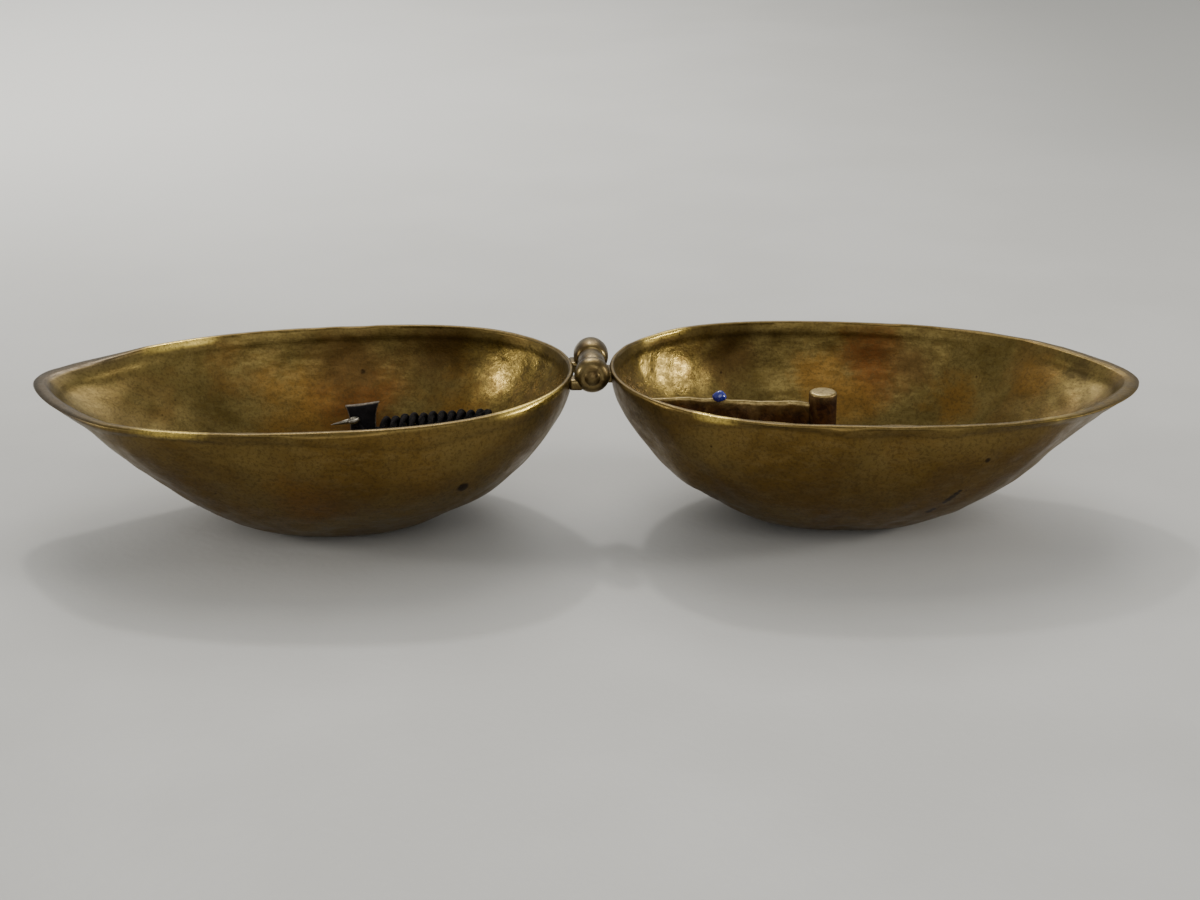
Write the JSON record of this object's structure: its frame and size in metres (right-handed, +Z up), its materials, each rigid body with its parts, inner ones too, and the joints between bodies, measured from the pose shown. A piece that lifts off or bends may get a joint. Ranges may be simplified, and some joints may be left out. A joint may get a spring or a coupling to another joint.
{
  "type": "pocket weighing scale in a hinged case",
  "caption": "Hand-held beam balance stowed in a boat-shaped hinged brass case that opens flat, with a post and a partition in one half.",
  "frame": {"origin": "middle of the footprint on the table, under the hinge", "axes": "+X from the hinge towards the right half, +Y away from the near side, +Z up out of the open halves"},
  "size_m": [0.2068, 0.062, 0.0332],
  "materials": {
    "case_brass": "aged hammered brass, olive gold with brown patina",
    "hinge_brass": "aged brass, worn bright on the barrel",
    "dark_brass": "dark red-brown brass with a worn top edge",
    "pan_brass": "turned brass, dulled",
    "steel": "dull steel",
    "navy_cord": "twisted dark navy cord",
    "dark_leather": "stiff black leather with pale cut edges",
    "blue_glass": "royal blue glazed bead"
  },
  "bodies": {
    "left_half": {"left_case_half": "case_brass", "left_hinge_leaf": "hinge_brass", "hinge_pin": "hinge_brass"},
    "right_half": {"right_case_half": "case_brass", "right_hinge_leaf": "hinge_brass", "post": "dark_brass", "partition": "dark_brass", "blue_bead": "blue_glass"},
    "lower_pan_body": {"lower_pan": "pan_brass"},
    "upper_pan_body": {"upper_pan": "pan_brass"},
    "balance": {"fork": "hinge_brass"},
    "suspension": {"suspension_cord": "navy_cord", "finger_tab": "dark_leather", "suspension_hook": "steel"},
    "swinging_beam": {"beam": "steel", "pointer": "steel", "pivot_pin": "steel", "beam_end_rings": "steel"},
    "weights": {"weight_largest": "pan_brass", "weight_large": "pan_brass", "weight_small": "pan_brass", "weight_smallest": "pan_brass"}
  },
  "joints": [
    {"name": "case_hinge", "type": "hinge", "parent": "left_half", "child": "right_half", "pos_m": [0, 0, 0.0301], "axis": [0, -1, 0], "range_deg": [0, 183.2]},
    {"name": "lower_pan_lift", "type": "slide", "parent": "left_half", "child": "lower_pan_body", "axis": [0, 0, -1], "range_m": [-0.04, 0]},
    {"name": "upper_pan_lift", "type": "slide", "parent": "lower_pan_body", "child": "upper_pan_body", "axis": [0, 0, -1], "range_m": [-0.04, 0]},
    {"name": "balance_lift", "type": "slide", "parent": "upper_pan_body", "child": "balance", "axis": [0, 0, -1], "range_m": [-0.04, 0]},
    {"name": "suspension_lift", "type": "slide", "parent": "upper_pan_body", "child": "suspension", "axis": [0, 0, -1], "range_m": [-0.04, 0]},
    {"name": "beam_swing", "type": "hinge", "parent": "balance", "child": "swinging_beam", "pos_m": [-0.048, -0.002, 0.0156], "axis": [0, 0, 1], "range_deg": [-3, 3]},
    {"name": "weights_lift", "type": "slide", "parent": "right_half", "child": "weights", "axis": [0, 0, -1], "range_m": [-0.04, 0]}
  ]
}
